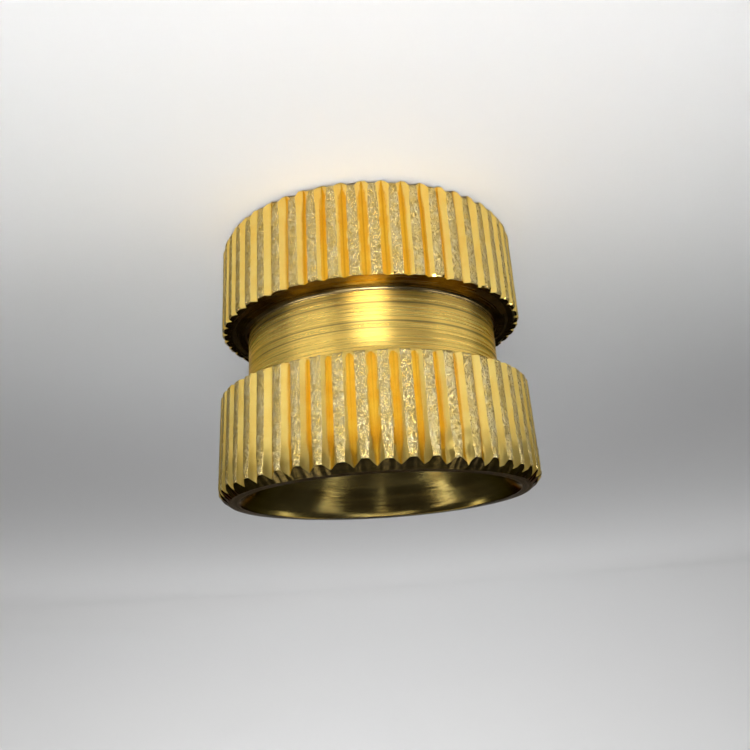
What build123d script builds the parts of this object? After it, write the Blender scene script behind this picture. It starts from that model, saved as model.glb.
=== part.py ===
from build123d import *
import math
import os

# A turned brass insert with a knurled band at each end and a plain neck between them.
# It stands on one end, its axis along +Z, with the middle of the lower end at the origin.

# Bands and end faces
knurl_diameter = 8.0
insert_length = 7.0
end_chamfer = 0.22
end_face_width = 0.28

# Straight knurl, with its first groove facing the front
groove_count = 50
groove_depth = 0.14
groove_angle = 90.0
first_groove_heading = -90.0

# Neck between the bands
neck_width = 1.8
neck_depth = 0.7
neck_corner_radius = 0.1
band_edge_break = 0.04

# Bore, as wide as the crests of its M5 thread, with a countersunk mouth at both ends.
# Its wall is measured from the bore out to the crests of the knurl.
bore_wall = 1.9
countersink_angle = 90.0

# How far a cutting shape runs past the face it cuts
cut_overrun = 0.5

knurl_radius = knurl_diameter / 2
end_face_radius = knurl_radius - end_chamfer

# The knurled bar: straight V grooves, and crests between them that keep the full diameter
groove_radius = knurl_radius - groove_depth
groove_reach = groove_depth + cut_overrun
groove_half_width = groove_reach * math.tan(math.radians(groove_angle / 2))
groove_outer_radius = groove_radius + groove_reach
groove_corners = [
    (groove_radius, 0),
    (groove_outer_radius, groove_half_width),
    (groove_outer_radius, -groove_half_width),
]
groove_section = make_face(Wire.make_polygon(groove_corners))
groove_sections = []
for index in range(groove_count):
    heading = first_groove_heading + 360 * index / groove_count
    groove_sections.append(Rot(0, 0, heading) * groove_section)
bar_section = make_face(Wire.make_circle(knurl_radius))
knurled_bar = extrude(bar_section - groove_sections, insert_length)

# The faced ends: a chamfer runs from each flat end face out to the crests of the knurl
faced_corners = [
    (0, 0),
    (end_face_radius, 0),
    (knurl_radius, end_chamfer),
    (knurl_radius, insert_length - end_chamfer),
    (end_face_radius, insert_length),
    (0, insert_length),
]
faced_section = make_face(Wire.make_polygon(faced_corners))
faced_bar = knurled_bar & revolve(Plane.XZ * faced_section, Axis.Z)

# The neck: a turned groove with rounded inner corners, and band edges that are just broken
neck_radius = knurl_radius - neck_depth
neck_bottom = (insert_length - neck_width) / 2
neck_top = neck_bottom + neck_width
edge_break_radius = knurl_radius - band_edge_break
neck_outer_radius = knurl_radius + cut_overrun
neck_flare = band_edge_break + cut_overrun
neck_corners = [
    (neck_radius, neck_bottom),
    (edge_break_radius, neck_bottom),
    (neck_outer_radius, neck_bottom - neck_flare),
    (neck_outer_radius, neck_top + neck_flare),
    (edge_break_radius, neck_top),
    (neck_radius, neck_top),
]
neck_section = Sketch() + make_face(Wire.make_polygon(neck_corners))
inner_corners = neck_section.vertices().group_by(Axis.X)[0]
neck_section = fillet(inner_corners, neck_corner_radius)
neck = revolve(Plane.XZ * neck_section, Axis.Z)

# The bore: a round hole that opens through a cone at each end face
bore_radius = knurl_radius - bore_wall
mouth_radius = end_face_radius - end_face_width
countersink_slope = math.tan(math.radians(countersink_angle / 2))
countersink_depth = (mouth_radius - bore_radius) / countersink_slope
mouth_overrun_radius = mouth_radius + cut_overrun * countersink_slope
bore_corners = [
    (0, -cut_overrun),
    (mouth_overrun_radius, -cut_overrun),
    (bore_radius, countersink_depth),
    (bore_radius, insert_length - countersink_depth),
    (mouth_overrun_radius, insert_length + cut_overrun),
    (0, insert_length + cut_overrun),
]
bore = revolve(Plane.XZ * make_face(Wire.make_polygon(bore_corners)), Axis.Z)

insert_body = faced_bar - neck - bore

os.makedirs("parts", exist_ok=True)
export_step(insert_body, "parts/insert_body.step")
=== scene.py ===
import math
import random

import bmesh
import bpy
from mathutils import Matrix


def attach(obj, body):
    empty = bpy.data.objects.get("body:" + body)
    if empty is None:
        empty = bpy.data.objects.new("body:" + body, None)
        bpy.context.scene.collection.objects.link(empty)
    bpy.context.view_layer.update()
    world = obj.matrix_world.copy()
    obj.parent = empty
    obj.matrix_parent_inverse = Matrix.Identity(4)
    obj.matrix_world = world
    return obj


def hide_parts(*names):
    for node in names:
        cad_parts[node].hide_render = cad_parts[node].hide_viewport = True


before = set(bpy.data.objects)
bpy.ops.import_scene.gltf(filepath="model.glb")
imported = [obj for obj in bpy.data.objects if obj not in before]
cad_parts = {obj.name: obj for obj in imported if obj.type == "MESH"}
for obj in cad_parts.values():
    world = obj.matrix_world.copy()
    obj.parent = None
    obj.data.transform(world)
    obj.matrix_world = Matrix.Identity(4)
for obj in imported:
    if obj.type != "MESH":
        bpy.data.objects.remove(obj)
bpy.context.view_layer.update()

# Knurled insert
# One piece of brass, turned from straight-knurled bar: a neck is cut between two bands,
# the ends are faced and chamfered, and the bore is countersunk and tapped right through.

# Sizes in millimetres, in which the insert is modelled before it is brought to metres
millimetre = 0.001
crest_radius = 4.0
insert_length = 7.0
end_chamfer = 0.22
end_face_radius = 3.78
lower_face_radius = 3.64
band_swell = 0.036
mouth_radius = 3.5
mouth_edge_break = 0.02
neck_radius = 3.3
neck_bottom = 2.6
neck_top = 4.4
neck_corner_radius = 0.1
band_edge_break = 0.04
touching = 0.001
merge_distance = touching / 10

# The knurl: V grooves. Each pitch has eight columns of vertices, five of them from a groove's
# middle to a crest's middle, placed by shares of the pitch and by depths below the crests.
groove_count = 50
groove_pitch = 360 / groove_count
first_groove_heading = -90.0
groove_depth = 0.14
column_shares = (0.0, 0.127, 0.255, 0.345, 0.5)
column_depths = (groove_depth, 0.0775, 0.015, 0.0, 0.0)
columns_per_groove = 2 * (len(column_shares) - 1)
column_count = groove_count * columns_per_groove
share_slack = 0.02

# Shares past which a column is on the flank, on the crest, or at the middle of the crest
flank_from = 0.1
crest_from = 0.2
crest_middle_from = 0.4


def choose(wanted):
    """Selects just the vertices, of the mesh in edit mode, whose places are wanted."""
    mesh = bmesh.from_edit_mesh(bpy.context.edit_object.data)
    for vertex in mesh.verts:
        vertex.select = wanted(vertex.co)
    mesh.select_flush_mode()
    bmesh.update_edit_mesh(bpy.context.edit_object.data)


def distance_out(place):
    return math.hypot(place.x, place.y)


def heading(place):
    return math.degrees(math.atan2(place.y, place.x))


def groove_share(place):
    """How far a place is round from the nearest groove's middle, as a share of the pitch."""
    turns = (heading(place) - first_groove_heading) / groove_pitch
    return turns - round(turns)


def in_column(place, share):
    return abs(abs(groove_share(place)) - share) < share_slack


def turn_round(degrees):
    bpy.ops.transform.rotate(
        value=-math.radians(degrees), orient_axis="Z", center_override=(0, 0, 0)
    )


def widen(ratio):
    bpy.ops.transform.resize(value=(ratio, ratio, 1), center_override=(0, 0, 0))


def start_ring(name, radius, height):
    """Adds a ring whose vertices stand where the knurl's columns do, and opens it for editing."""
    bpy.ops.object.select_all(action="DESELECT")
    bpy.ops.mesh.primitive_circle_add(
        vertices=column_count, radius=radius, location=(0, 0, height)
    )
    bpy.context.object.name = name
    bpy.ops.object.transform_apply(location=True, rotation=True, scale=True)
    bpy.ops.object.mode_set(mode="EDIT")
    bpy.ops.mesh.select_mode(type="VERT")
    for index, share in enumerate(column_shares):
        even_share = index / columns_per_groove
        for side in (-1, 1):
            choose(lambda place: abs(side * groove_share(place) - even_share) < share_slack)
            turn_round(side * (share - even_share) * groove_pitch)
    bpy.ops.mesh.select_all(action="SELECT")
    return bpy.context.object


def turn_along(path):
    """Extrudes the selected ring along a tool's path of radii and heights."""
    for (radius, height), (next_radius, next_height) in zip(path, path[1:]):
        step = (0, 0, next_height - height)
        bpy.ops.mesh.extrude_edges_move(TRANSFORM_OT_translate={"value": step})
        widen(next_radius / radius)


def mirrored(path):
    """The same path at the other end, cut in the other direction."""
    return [(radius, insert_length - height) for radius, height in reversed(path)]


# The tool's path over the outside, from the lower mouth to the upper one
band_steps = 24
band_low = end_chamfer
band_high = neck_bottom - band_edge_break
band_step = (band_high - band_low) / band_steps
corner_steps = 4
shoulder_radius = crest_radius - band_edge_break
corner_out = neck_radius + neck_corner_radius

mouth_edge = [
    (mouth_radius - mouth_edge_break, mouth_edge_break),
    (mouth_radius + mouth_edge_break, 0),
]
lower_band = [(crest_radius, band_low + band_step * step) for step in range(band_steps + 1)]
upper_band = [
    (crest_radius + band_swell * step / band_steps, height)
    for step, (radius, height) in enumerate(mirrored(lower_band))
]
corner_path = [(shoulder_radius, neck_bottom)]
for step in range(corner_steps + 1):
    turned = math.pi / 2 * step / corner_steps
    corner_path.append((
        corner_out - neck_corner_radius * math.sin(turned),
        neck_bottom + neck_corner_radius * (1 - math.cos(turned)),
    ))

# Feed lines of the turned neck: sharp ridges with a round valley between each two
feed_count = 17
feed_height = 0.0022
feed_profile = ((0.02, 1.0), (0.24, -0.35), (0.52, -1.0), (0.8, -0.35))
feed_spacing_range = (0.75, 1.25)
feed_height_range = (0.5, 1.3)
feed_rng = random.Random(11)
neck_low = neck_bottom + neck_corner_radius
neck_high = neck_top - neck_corner_radius
feed_spacings = [feed_rng.uniform(*feed_spacing_range) for line in range(feed_count)]
feed_scale = (neck_high - neck_low) / sum(feed_spacings)
neck_path = []
line_start = neck_low
for spacing in feed_spacings:
    line_height = feed_height * feed_rng.uniform(*feed_height_range)
    for along_share, rise_share in feed_profile:
        neck_path.append((
            neck_radius + line_height * rise_share,
            line_start + along_share * spacing * feed_scale,
        ))
    line_start += spacing * feed_scale

outside_path = (
    mouth_edge + [(lower_face_radius, 0)] + lower_band + corner_path + neck_path
    + mirrored(corner_path) + upper_band + [(end_face_radius, insert_length)] + mirrored(mouth_edge)
)
insert = start_ring("insert", *outside_path[0])
turn_along(outside_path)

# Roll the knurl into both bands
for share, depth in zip(column_shares, column_depths):
    choose(lambda place: distance_out(place) > crest_radius - touching and in_column(place, share))
    widen((crest_radius - depth) / crest_radius)
    if depth > band_edge_break:
        choose(lambda place: min(abs(place.z - neck_bottom), abs(place.z - neck_top)) < touching
               and abs(distance_out(place) - shoulder_radius) < touching
               and in_column(place, share))
        widen((crest_radius - depth) / shoulder_radius)

# Towards each end the grooves flare, the crests narrow and their corners are rounded off
flare_shares = (0.075, 0.06, 0.045, 0.032, 0.02, 0.01)
crest_end_drops = {-1: 0.04, 1: 0.015}
end_rings = {-1: end_chamfer, 1: insert_length - end_chamfer}
for end, end_height in end_rings.items():
    for rings_in, flare_share in enumerate(flare_shares):
        ring_height = end_height - end * rings_in * band_step
        for side in (-1, 1):
            choose(lambda place: abs(place.z - ring_height) < touching
                   and crest_from < side * groove_share(place) < crest_middle_from)
            turn_round(side * flare_share * groove_pitch)
            choose(lambda place: abs(place.z - ring_height) < touching
                   and flank_from < side * groove_share(place) < crest_from)
            turn_round(side * flare_share / 2 * groove_pitch)
    choose(lambda place: abs(place.z - end_height) < touching and abs(groove_share(place)) > crest_from)
    widen((crest_radius - crest_end_drops[end]) / crest_radius)

# The chamfers cut the crests shorter than the grooves, which leaves a point at each groove
flared_slack = 0.1
for end, end_height in end_rings.items():
    for share, depth in zip(column_shares[:2], column_depths[:2]):
        choose(lambda place: abs(place.z - end_height) < touching
               and share - share_slack < abs(groove_share(place)) < share + flared_slack)
        bpy.ops.transform.translate(value=(0, 0, end * depth))

# The crests end unevenly, and the points are torn a little, most in one stretch of the upper end
land_offsets = (-0.035, -0.015, 0.0, 0.012, 0.025)
land_rng = random.Random(3)
land_kinds = [land_rng.randrange(len(land_offsets)) for land in range(groove_count)]
burr_size = 0.018
torn_size = 0.045
torn_from, torn_to = -172.0, -112.0
torn_height = insert_length - 1.6 * end_chamfer
knurl_inner_radius = crest_radius - 1.1 * groove_depth


def land_number(place):
    """Which crest a place is on, counted round from the first groove."""
    turns = (heading(place) - first_groove_heading) / groove_pitch
    return math.floor(turns) % groove_count


for end, end_height in end_rings.items():
    for kind, offset in enumerate(land_offsets):
        choose(lambda place: abs(place.z - end_height) < touching
               and abs(groove_share(place)) > crest_from
               and land_kinds[land_number(place)] == kind)
        bpy.ops.transform.translate(value=(0, 0, end * offset))


def at_points(place):
    from_end = min(place.z, insert_length - place.z)
    return (from_end < end_chamfer + touching and abs(groove_share(place)) < crest_from
            and distance_out(place) > knurl_inner_radius)


choose(at_points)
bpy.ops.transform.vertex_random(offset=burr_size, uniform=0.0, normal=0.0, seed=4)
choose(lambda place: place.z > torn_height and torn_from < heading(place) < torn_to
       and not crest_from < abs(groove_share(place)) < crest_middle_from
       and distance_out(place) > knurl_inner_radius)
bpy.ops.transform.vertex_random(offset=torn_size, uniform=0.0, normal=0.0, seed=21)

# The crests behind the torn points are wrinkled
torn_length = 0.7
wrinkle_size = 0.014
crest_slack = 0.02
chamfer_start = insert_length - end_chamfer
choose(lambda place: distance_out(place) > crest_radius - crest_slack
       and chamfer_start - torn_length < place.z < chamfer_start - touching
       and torn_from < heading(place) < torn_to)
bpy.ops.transform.vertex_random(offset=wrinkle_size, uniform=0.0, normal=0.0, seed=12)

# The rolled crests are uneven, and the edges of the bands at the neck are burred
crest_unevenness = 0.006
uneven_from = 1.2 * end_chamfer
shoulder_slack = 2 * touching
choose(lambda place: distance_out(place) > crest_radius - crest_slack
       and uneven_from < min(place.z, insert_length - place.z))
bpy.ops.transform.vertex_random(offset=crest_unevenness, uniform=0.0, normal=0.0, seed=6)
choose(lambda place: abs(distance_out(place) - shoulder_radius) < shoulder_slack
       and min(abs(place.z - neck_bottom), abs(place.z - neck_top)) < touching)
bpy.ops.transform.vertex_random(offset=burr_size, uniform=0.0, normal=0.0, seed=15)
bpy.ops.object.mode_set(mode="OBJECT")

# The bore: a countersink at each mouth and a right-hand M5 thread between them
bore_radius = 2.1
thread_root_radius = 2.5
thread_pitch = 0.8
root_flat = 0.1
flank_slope = math.tan(math.radians(30))
countersink_steps = 8
sleeve_radius = 3.9
cutter_radius = 2.02
cutter_steps = 72
cutter_turns = 11
cutter_start = -0.9

mouth_path = [outside_path[0]]
for step in range(1, countersink_steps + 1):
    inward = (mouth_path[0][0] - bore_radius) * step / countersink_steps
    mouth_path.append((mouth_path[0][0] - inward, mouth_path[0][1] + inward))
sleeve_path = mouth_path + mirrored(mouth_path)
sleeve_path += [
    (sleeve_radius, sleeve_path[-1][1]),
    (sleeve_radius, sleeve_path[0][1]),
    sleeve_path[0],
]
sleeve = start_ring("bore_wall", *sleeve_path[0])
turn_along(sleeve_path)
bpy.ops.mesh.select_all(action="SELECT")
bpy.ops.mesh.remove_doubles(threshold=merge_distance)
bpy.ops.mesh.normals_make_consistent(inside=False)
bpy.ops.object.mode_set(mode="OBJECT")

# The tap's tooth, swept along its helix
cutter_depth = thread_root_radius - cutter_radius
cutter_width = root_flat + 2 * cutter_depth * flank_slope
cutter_place = (cutter_radius + cutter_depth / 2, 0, cutter_start)
bpy.ops.object.select_all(action="DESELECT")
bpy.ops.mesh.primitive_plane_add(size=1, rotation=(math.radians(90), 0, 0), location=cutter_place)
cutter = bpy.context.object
cutter.name = "tap"
bpy.ops.object.transform_apply(location=True, rotation=True, scale=True)
bpy.ops.object.mode_set(mode="EDIT")
bpy.ops.mesh.select_mode(type="VERT")
bpy.ops.mesh.select_all(action="SELECT")
bpy.ops.transform.resize(value=(cutter_depth, 1, root_flat), center_override=cutter_place)
choose(lambda place: place.x < cutter_place[0])
bpy.ops.transform.resize(value=(1, 1, cutter_width / root_flat), center_override=cutter_place)
bpy.ops.mesh.select_all(action="SELECT")
bpy.ops.mesh.delete(type="ONLY_FACE")
bpy.ops.object.mode_set(mode="OBJECT")
helix = cutter.modifiers.new("helix", "SCREW")
helix.axis = "Z"
helix.angle = math.tau
helix.screw_offset = thread_pitch
helix.iterations = cutter_turns
helix.steps = cutter_steps
helix.render_steps = cutter_steps
helix.use_smooth_shade = False
bpy.ops.object.modifier_apply(modifier=helix.name)
bpy.ops.object.mode_set(mode="EDIT")
bpy.ops.mesh.select_mode(type="EDGE")
bpy.ops.mesh.select_all(action="DESELECT")
bpy.ops.mesh.select_non_manifold()
bpy.ops.mesh.edge_face_add()
bpy.ops.mesh.select_all(action="SELECT")
bpy.ops.mesh.normals_make_consistent(inside=False)
bpy.ops.object.mode_set(mode="OBJECT")

bpy.ops.object.select_all(action="DESELECT")
sleeve.select_set(True)
bpy.context.view_layer.objects.active = sleeve
tapping = sleeve.modifiers.new("tapping", "BOOLEAN")
tapping.operation = "DIFFERENCE"
tapping.solver = "EXACT"
tapping.object = cutter
bpy.ops.object.modifier_apply(modifier=tapping.name)
bpy.data.objects.remove(cutter, do_unlink=True)

# Only the tapped inner wall is kept, and it joins the outside at the mouths
bpy.ops.object.mode_set(mode="EDIT")
bpy.ops.mesh.select_mode(type="VERT")
choose(lambda place: distance_out(place) > sleeve_radius - touching)
bpy.ops.mesh.delete(type="VERT")
bpy.ops.object.mode_set(mode="OBJECT")
insert.select_set(True)
bpy.context.view_layer.objects.active = insert
bpy.ops.object.join()
bpy.ops.object.mode_set(mode="EDIT")
bpy.ops.mesh.select_all(action="SELECT")
bpy.ops.mesh.remove_doubles(threshold=merge_distance)
bpy.ops.mesh.normals_make_consistent(inside=False)
bpy.ops.object.mode_set(mode="OBJECT")

# Finishes of the brass. Each effect that several of them share is a group of nodes.
bright_brass = (0.92, 0.68, 0.19, 1)
pale_brass = (1.0, 0.87, 0.50, 1)
golden_brass = (1.0, 0.70, 0.17, 1)
olive_brass = (0.84, 0.58, 0.14, 1)
speck_brass = (0.32, 0.22, 0.06, 1)
# Painted shade: the next colour darkens the deep roots of the grooves
root_shade_brass = (0.84, 0.60, 0.15, 1)
flank_brass = (0.95, 0.71, 0.20, 1)
honey_brass = (0.92, 0.61, 0.13, 1)
edge_brass = (0.80, 0.62, 0.32, 1)
edge_umber = (0.38, 0.27, 0.10, 1)
# Painted shade: the next colour tints grazing reflections dark brown on the faces, shoulders and
# countersinks
shade_edge_brown = (0.13, 0.10, 0.06, 1)
# Painted shade: the next two colours darken the countersinks inside the mouths; the second also colours
# the neck's score lines
bore_shade_brass = (0.56, 0.43, 0.14, 1)
score_and_shade_umber = (0.40, 0.28, 0.08, 1)
# Painted shade: the next three colours are dark browns for the chamfers, end faces and shoulders
shade_tan_brass = (0.36, 0.25, 0.07, 1)
reddish_shade_brass = (0.24, 0.17, 0.07, 1)
deep_shade_brass = (0.14, 0.10, 0.045, 1)


def add_node(tree, kind, inputs, **settings):
    """Adds a node to a tree, with its settings, and with values or links on its inputs."""
    node = tree.nodes.new(kind)
    for name, value in settings.items():
        setattr(node, name, value)
    for key, value in inputs.items():
        if isinstance(value, bpy.types.NodeSocket):
            tree.links.new(value, node.inputs[key])
        else:
            node.inputs[key].default_value = value
    return node


def mix_colors(tree, share, first, second):
    """Mixes two colours, and gives the socket that holds the result."""
    mixer = tree.nodes.new("ShaderNodeMix")
    mixer.data_type = "RGBA"
    sockets = [socket for socket in mixer.inputs if socket.type == "RGBA"]
    for socket, value in zip([mixer.inputs[0], *sockets], (share, first, second)):
        if isinstance(value, bpy.types.NodeSocket):
            tree.links.new(value, socket)
        else:
            socket.default_value = value
    return next(socket for socket in mixer.outputs if socket.type == "RGBA")


def new_group(name, inputs, outputs):
    """Starts a group of nodes with named sockets, and gives its tree, entry and exit."""
    tree = bpy.data.node_groups.new(name, "ShaderNodeTree")
    for socket_name, kind in inputs.items():
        tree.interface.new_socket(socket_name, in_out="INPUT", socket_type=kind)
    for socket_name, kind in outputs.items():
        tree.interface.new_socket(socket_name, in_out="OUTPUT", socket_type=kind)
    return tree, tree.nodes.new("NodeGroupInput"), tree.nodes.new("NodeGroupOutput")


# Tone: soft patches where the metal is brighter or duller
brass_tone, entry, leaving = new_group(
    "brass_tone",
    {"Place": "NodeSocketVector", "Patches per metre": "NodeSocketFloat",
     "Bright": "NodeSocketColor", "Dull": "NodeSocketColor"},
    {"Color": "NodeSocketColor", "Dullness": "NodeSocketFloat"},
)
patches = add_node(brass_tone, "ShaderNodeTexNoise", {
    "Vector": entry.outputs["Place"], "Scale": entry.outputs["Patches per metre"],
    "Detail": 4.0, "Roughness": 0.6,
})
dullness = add_node(brass_tone, "ShaderNodeMapRange", {
    "Value": patches.outputs["Fac"], "From Min": 0.38, "From Max": 0.66,
})
brass_tone.links.new(
    mix_colors(brass_tone, dullness.outputs["Result"], entry.outputs["Bright"], entry.outputs["Dull"]),
    leaving.inputs["Color"],
)
brass_tone.links.new(dullness.outputs["Result"], leaving.inputs["Dullness"])

# Grain: the fine pebbled skin of drawn and rolled metal
metal_grain, entry, leaving = new_group(
    "metal_grain",
    {"Place": "NodeSocketVector", "Grains per metre": "NodeSocketFloat"},
    {"Height": "NodeSocketFloat", "Sparkle": "NodeSocketFloat"},
)
pebbles = add_node(metal_grain, "ShaderNodeTexNoise", {
    "Vector": entry.outputs["Place"], "Scale": entry.outputs["Grains per metre"],
    "Detail": 4.0, "Roughness": 0.7,
})
sparkle = add_node(metal_grain, "ShaderNodeMapRange", {
    "Value": pebbles.outputs["Fac"], "From Min": 0.4, "From Max": 0.62,
})
metal_grain.links.new(pebbles.outputs["Fac"], leaving.inputs["Height"])
metal_grain.links.new(sparkle.outputs["Result"], leaving.inputs["Sparkle"])

# Tool lines: scratches that run far one way and change quickly the other way
tool_lines, entry, leaving = new_group(
    "tool_lines",
    {"Lines": "NodeSocketVector"},
    {"Height": "NodeSocketFloat", "Streak": "NodeSocketFloat"},
)
fine_lines = add_node(tool_lines, "ShaderNodeTexNoise", {
    "Vector": entry.outputs["Lines"], "Scale": 1.0, "Detail": 3.0, "Roughness": 0.7,
})
broad_lines = add_node(tool_lines, "ShaderNodeTexNoise", {
    "Vector": entry.outputs["Lines"], "Scale": 0.35, "Detail": 2.0, "Roughness": 0.6,
})
streak = add_node(tool_lines, "ShaderNodeMapRange", {
    "Value": broad_lines.outputs["Fac"], "From Min": 0.38, "From Max": 0.64,
})
tool_lines.links.new(fine_lines.outputs["Fac"], leaving.inputs["Height"])
tool_lines.links.new(streak.outputs["Result"], leaving.inputs["Streak"])

# Rings: where tool lines run round the axis, on a face or a cone
rings_round, entry, leaving = new_group(
    "rings_round",
    {"Place": "NodeSocketVector", "Lines per metre": "NodeSocketFloat",
     "Breaks per metre": "NodeSocketFloat"},
    {"Lines": "NodeSocketVector"},
)
flat_place = add_node(rings_round, "ShaderNodeVectorMath", {
    0: entry.outputs["Place"], 1: (1, 1, 0),
}, operation="MULTIPLY")
ring_radius = add_node(rings_round, "ShaderNodeVectorMath", {0: flat_place.outputs["Vector"]},
                       operation="LENGTH")
across = add_node(rings_round, "ShaderNodeMath", {
    0: ring_radius.outputs["Value"], 1: entry.outputs["Lines per metre"],
}, operation="MULTIPLY")
slow_place = add_node(rings_round, "ShaderNodeVectorMath", {
    0: flat_place.outputs["Vector"], "Scale": entry.outputs["Breaks per metre"],
}, operation="SCALE")
slow_parts = add_node(rings_round, "ShaderNodeSeparateXYZ", {"Vector": slow_place.outputs["Vector"]})
ring_lines = add_node(rings_round, "ShaderNodeCombineXYZ", {
    "X": across.outputs["Value"], "Y": slow_parts.outputs["X"], "Z": slow_parts.outputs["Y"],
})
rings_round.links.new(ring_lines.outputs["Vector"], leaving.inputs["Lines"])


def start_finish(name, grazing_color):
    """A new metal finish: its material, its nodes, its shader and places on the insert."""
    material = bpy.data.materials.new(name)
    material.use_nodes = True
    tree = material.node_tree
    shader = tree.nodes["Principled BSDF"]
    shader.inputs["Metallic"].default_value = 1.0
    shader.inputs["Specular Tint"].default_value = grazing_color
    return material, tree, shader, tree.nodes.new("ShaderNodeTexCoord").outputs["Object"]


def place_group(tree, group, inputs):
    """Places a shared effect in a finish, with its own values."""
    return add_node(tree, "ShaderNodeGroup", inputs, node_tree=group)


def vary(tree, share, low, high):
    """A value that goes from low to high as a mask goes from 0 to 1."""
    ranged = add_node(tree, "ShaderNodeMapRange", {"Value": share, "To Min": low, "To Max": high})
    return ranged.outputs["Result"]


def raise_surface(tree, height, distance, under=None):
    """Bumps a surface by a height, over the bump that is already there."""
    bump = add_node(tree, "ShaderNodeBump", {"Height": height, "Distance": distance})
    if under is not None:
        tree.links.new(under, bump.inputs["Normal"])
    return bump.outputs["Normal"]


def stretch(tree, place, scale):
    mapping = add_node(tree, "ShaderNodeMapping", {"Vector": place, "Scale": scale})
    return mapping.outputs["Vector"]


def dress(tree, shader, color, roughness, normal):
    """Links a finish's colour, roughness and bumps to its shader."""
    tree.links.new(color, shader.inputs["Base Color"])
    tree.links.new(roughness, shader.inputs["Roughness"])
    tree.links.new(normal, shader.inputs["Normal"])


# Crests of the knurl: the pebbled skin of the bar, pale and sparkling
crest_finish, tree, shader, place = start_finish("crest_brass", edge_umber)
skin = place_group(tree, metal_grain, {
    "Place": stretch(tree, place, (1, 1, 0.6)), "Grains per metre": 32000,
})
swell = place_group(tree, metal_grain, {"Place": place, "Grains per metre": 3500})
tone = place_group(tree, brass_tone, {
    "Place": place, "Patches per metre": 5000, "Bright": pale_brass, "Dull": bright_brass,
})
swelling = raise_surface(tree, swell.outputs["Height"], distance=12e-6)
dress(
    tree, shader,
    color=mix_colors(tree, skin.outputs["Sparkle"], speck_brass, tone.outputs["Color"]),
    roughness=vary(tree, skin.outputs["Sparkle"], low=0.34, high=0.16),
    normal=raise_surface(tree, skin.outputs["Height"], distance=30e-6, under=swelling),
)

# Grooves of the knurl: burnished by the rolling wheel, streaked along, and painted darker at the root as
# shade in the crease
root_shade_depth = 0.75 * groove_depth
groove_finish, tree, shader, place = start_finish("groove_brass", edge_brass)
drag = place_group(tree, tool_lines, {"Lines": stretch(tree, place, (28000, 28000, 500))})
tone = place_group(tree, brass_tone, {
    "Place": place, "Patches per metre": 1500, "Bright": flank_brass, "Dull": honey_brass,
})
flat_place = add_node(tree, "ShaderNodeVectorMath", {0: place, 1: (1, 1, 0)}, operation="MULTIPLY")
out = add_node(tree, "ShaderNodeVectorMath", {0: flat_place.outputs["Vector"]}, operation="LENGTH")
# The roots of the grooves are painted darker, as shade in the crease
root_shade_clearness = add_node(tree, "ShaderNodeMapRange", {
    "Value": out.outputs["Value"],
    "From Min": (crest_radius - groove_depth) * millimetre,
    "From Max": (crest_radius - root_shade_depth) * millimetre,
})
dress(
    tree, shader,
    color=mix_colors(tree, root_shade_clearness.outputs["Result"], root_shade_brass, tone.outputs["Color"]),
    roughness=vary(tree, drag.outputs["Streak"], low=0.10, high=0.24),
    normal=raise_surface(tree, drag.outputs["Height"], distance=2.5e-6),
)

# Neck: turned, with fine lines round it that draw reflections out along the axis
score_sharpness = 5.0
neck_finish, tree, shader, place = start_finish("neck_brass", edge_brass)
turning = place_group(tree, tool_lines, {"Lines": stretch(tree, place, (90, 90, 30000))})
tone = place_group(tree, brass_tone, {
    "Place": stretch(tree, place, (0.5, 0.5, 4)), "Patches per metre": 900,
    "Bright": golden_brass, "Dull": olive_brass,
})
score = add_node(tree, "ShaderNodeMath", {0: turning.outputs["Streak"], 1: score_sharpness},
                 operation="POWER")
dress(
    tree, shader,
    color=mix_colors(tree, score.outputs["Value"], tone.outputs["Color"], score_and_shade_umber),
    roughness=vary(tree, turning.outputs["Streak"], low=0.25, high=0.32),
    normal=raise_surface(tree, turning.outputs["Height"], distance=6e-6),
)
shader.inputs["Anisotropic"].default_value = 1.0
shader.inputs["Anisotropic Rotation"].default_value = 0.25


def ring_cut_finish(name, bright, dull, lines, breaks, patches, low, high, line_height):
    """A finish with the lines of a cutting tool round the axis, on a face or a cone, whose grazing
    reflections are tinted dark brown as painted shade.
    """
    material, tree, shader, place = start_finish(name, shade_edge_brown)
    rings = place_group(tree, rings_round, {
        "Place": place, "Lines per metre": lines, "Breaks per metre": breaks,
    })
    cutting = place_group(tree, tool_lines, {"Lines": rings.outputs["Lines"]})
    tone = place_group(tree, brass_tone, {
        "Place": place, "Patches per metre": patches, "Bright": bright, "Dull": dull,
    })
    dress(
        tree, shader,
        color=tone.outputs["Color"],
        roughness=vary(tree, cutting.outputs["Streak"], low, high),
        normal=raise_surface(tree, cutting.outputs["Height"], line_height),
    )
    return material


# Chamfers and end faces: faced with a fine cut, and painted dark brown as shade
shaded_faced_finish = ring_cut_finish(
    "faced_brass_painted_shade", shade_tan_brass, reddish_shade_brass, lines=24000, breaks=250, patches=2500,
    low=0.14, high=0.24, line_height=3e-6,
)

# Shoulders: torn by the necking tool, and painted dark brown as the shade under the bands
shaded_shoulder_finish = ring_cut_finish(
    "shoulder_brass_painted_shade", reddish_shade_brass, deep_shade_brass, lines=16000, breaks=900, patches=2500,
    low=0.2, high=0.34, line_height=6e-6,
)

# Countersinks: bored smooth, with faint rings, and painted darker as the shade inside the mouths
shaded_cone_finish = ring_cut_finish(
    "countersink_brass_painted_shade", bore_shade_brass, score_and_shade_umber, lines=14000, breaks=300, patches=1200,
    low=0.14, high=0.24, line_height=3e-6,
)

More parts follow.
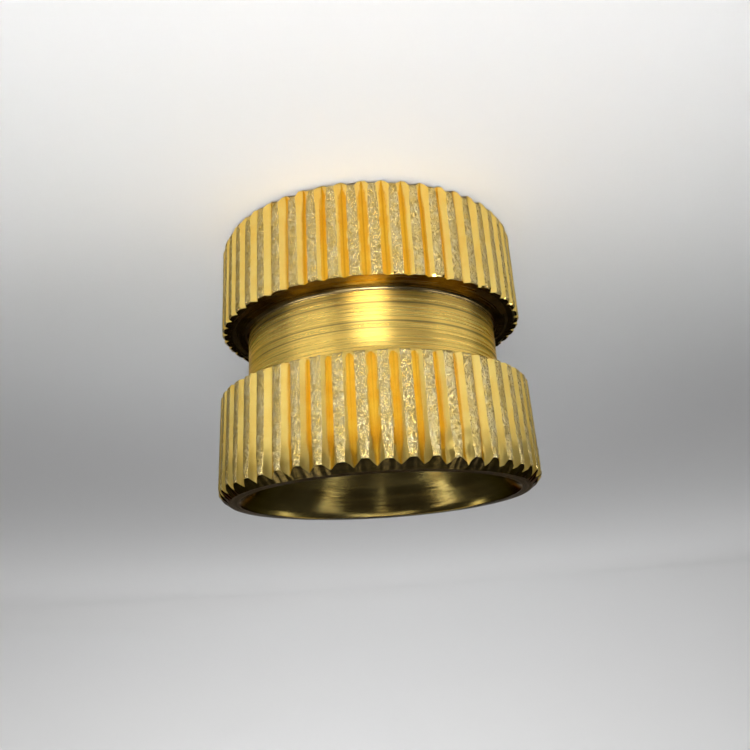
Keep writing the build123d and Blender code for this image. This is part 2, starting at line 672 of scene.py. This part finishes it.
# Thread: tapped, with fine lines along its turns
thread_finish, tree, shader, place = start_finish("thread_brass", edge_brass)
tapping_lines = place_group(tree, tool_lines, {"Lines": stretch(tree, place, (150, 150, 16000))})
tone = place_group(tree, brass_tone, {
    "Place": place, "Patches per metre": 600, "Bright": bright_brass, "Dull": honey_brass,
})
dress(
    tree, shader,
    color=tone.outputs["Color"],
    roughness=vary(tree, tapping_lines.outputs["Streak"], low=0.22, high=0.3),
    normal=raise_surface(tree, tapping_lines.outputs["Height"], distance=2e-6),
)

finishes = (
    crest_finish, groove_finish, neck_finish, shaded_faced_finish, shaded_shoulder_finish, shaded_cone_finish, thread_finish,
)
insert.data.materials.clear()
for finish in finishes:
    insert.data.materials.append(finish)

# Where the finishes meet
crest_skin_depth = 0.028
shoulder_facing = 0.8
countersink_depth = mouth_radius - bore_radius
cone_rise = math.sin(math.radians(45))
cone_slack = 0.08


def finish_of(face):
    """Which finish a face has, by where it is and which way it looks."""
    out, height = distance_out(face.center), face.center.z
    from_end = min(height, insert_length - height)
    looks_in = face.normal.x * face.center.x + face.normal.y * face.center.y < 0
    if looks_in and out < mouth_radius - mouth_edge_break:
        on_cone = from_end < countersink_depth and abs(abs(face.normal.z) - cone_rise) < cone_slack
        return shaded_cone_finish if on_cone else thread_finish
    heights = [insert.data.vertices[index].co.z for index in face.vertices]
    if min(heights) < touching or max(heights) > insert_length - touching:
        return shaded_faced_finish
    if neck_low < height < neck_high:
        return neck_finish
    in_neck = neck_bottom + burr_size < height < neck_top - burr_size
    near_shoulder = min(abs(height - neck_bottom), abs(height - neck_top)) < burr_size
    if in_neck or near_shoulder and abs(face.normal.z) > shoulder_facing:
        return shaded_shoulder_finish
    swelled_radius = crest_radius
    if height > neck_top:
        swelled_radius += band_swell * (height - neck_top) / (chamfer_start - neck_top)
    return crest_finish if out > swelled_radius - crest_skin_depth else groove_finish


for face in insert.data.polygons:
    face.material_index = finishes.index(finish_of(face))

# Brought to metres, and shaded smooth where the faces run into each other
smooth_angle = 24.0
insert.scale = (millimetre, millimetre, millimetre)
bpy.ops.object.transform_apply(location=True, rotation=True, scale=True)
bpy.ops.object.shade_smooth_by_angle(angle=math.radians(smooth_angle))

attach(insert, "root")
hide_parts("insert_body")

# Floor
# A pale sheet of matt card that curves up into a low rim all round.
dish_flat = 0.2
dish_bend = 0.1
dish_turn = 64.0
dish_steps = 24
dish_sides = 128
card_color = (0.72, 0.72, 0.72, 1)
card_roughness = 0.9
bpy.ops.object.select_all(action="DESELECT")
bpy.ops.mesh.primitive_circle_add(
    vertices=dish_sides, radius=dish_flat, fill_type="NGON", location=(0, 0, 0)
)
floor = bpy.context.object
floor.name = "floor"
bpy.ops.object.mode_set(mode="EDIT")
bpy.ops.mesh.select_mode(type="EDGE")
bpy.ops.mesh.select_all(action="SELECT")
dish_turns = [math.radians(dish_turn) * step / dish_steps for step in range(dish_steps + 1)]
turn_along([
    (dish_flat + dish_bend * math.sin(turned), dish_bend * (1 - math.cos(turned)))
    for turned in dish_turns
])
bpy.ops.object.mode_set(mode="OBJECT")
bpy.ops.object.shade_smooth()
card = bpy.data.materials.new("floor_card")
card.use_nodes = True
card_shader = card.node_tree.nodes["Principled BSDF"]
card_shader.inputs["Base Color"].default_value = card_color
card_shader.inputs["Roughness"].default_value = card_roughness
floor.data.materials.append(card)

# Light
# A small key lights the floor in front of the insert, and another lamp the floor behind it.
# The brass mirrors low wide panels in front, soft ones at the sides, a rim behind and strips above.
world_color = (0.03, 0.03, 0.03, 1)
world = bpy.data.worlds.new("studio")
world.use_nodes = True
world.node_tree.nodes["Background"].inputs["Color"].default_value = world_color
bpy.context.scene.world = world


def add_panel(name, azimuth, elevation, distance, width, height, power, spread=180, forward=0):
    """A soft panel that faces the insert, or the floor forward of it; azimuth 0 is the camera's side."""
    around, up = math.radians(azimuth), math.radians(elevation)
    panel = bpy.data.lights.new(name, "AREA")
    panel.shape = "RECTANGLE"
    panel.size = width
    panel.size_y = height
    panel.energy = power
    panel.spread = math.radians(spread)
    lamp = bpy.data.objects.new(name, panel)
    bpy.context.scene.collection.objects.link(lamp)
    lamp.location = (
        distance * math.cos(up) * math.sin(around),
        -distance * math.cos(up) * math.cos(around) - forward,
        distance * math.sin(up),
    )
    lamp.rotation_euler = (math.radians(90) - up, 0, around)
    lamp.visible_camera = False


add_panel(
    "key", azimuth=0, elevation=42, distance=0.05, width=0.03, height=0.012, power=0.0052,
    spread=50, forward=0.015,
)
add_panel(
    "backdrop", azimuth=0, elevation=59, distance=0.29, width=0.1, height=0.04, power=0.1,
    spread=84, forward=-0.2,
)
add_panel(
    "side_left", azimuth=70, elevation=40, distance=1, width=0.28, height=0.28, power=0.3,
)
add_panel(
    "side_right", azimuth=-70, elevation=40, distance=1, width=0.28, height=0.28, power=0.3,
)
add_panel(
    "low_front", azimuth=-6, elevation=10, distance=1, width=0.35, height=0.24, power=1.5,
)
add_panel(
    "low_left", azimuth=52, elevation=9.5, distance=1, width=0.74, height=0.24, power=6.2,
)
add_panel(
    "low_right", azimuth=-79, elevation=9.5, distance=1, width=0.85, height=0.24, power=6.4,
)
add_panel(
    "strip_left", azimuth=110, elevation=58, distance=1, width=0.05, height=0.3, power=0.14,
)
add_panel(
    "strip_right", azimuth=-100, elevation=64, distance=1, width=0.04, height=0.3, power=0.07,
)
add_panel(
    "rim", azimuth=180, elevation=52, distance=1, width=1.0, height=0.12, power=0.6,
)
add_panel(
    "strip_top", azimuth=0, elevation=86, distance=1, width=0.05, height=0.07, power=0.02,
)

# Camera
# Close to the insert and above its upper end, turned over so that this end comes lowest.
camera_place = (-0.1399 * millimetre, -19.7294 * millimetre, 9.9644 * millimetre)
camera_pitch = 21.976
camera_roll = 180 - 3.604
sensor_width = 36
focal_length = 36.947
picture_shift = -0.08
nearest_seen = 0.0005
farthest_seen = 10
lens = bpy.data.cameras.new("photo_camera")
lens.sensor_width = sensor_width
lens.lens = focal_length
lens.shift_y = picture_shift
lens.clip_start = nearest_seen
lens.clip_end = farthest_seen
camera = bpy.data.objects.new("photo_camera", lens)
bpy.context.scene.collection.objects.link(camera)
camera.location = camera_place
aim = Matrix.Rotation(math.radians(90 - camera_pitch), 4, "X")
camera.rotation_euler = (aim @ Matrix.Rotation(math.radians(camera_roll), 4, "Z")).to_euler()
bpy.context.scene.camera = camera
bpy.context.scene.view_settings.view_transform = "Standard"
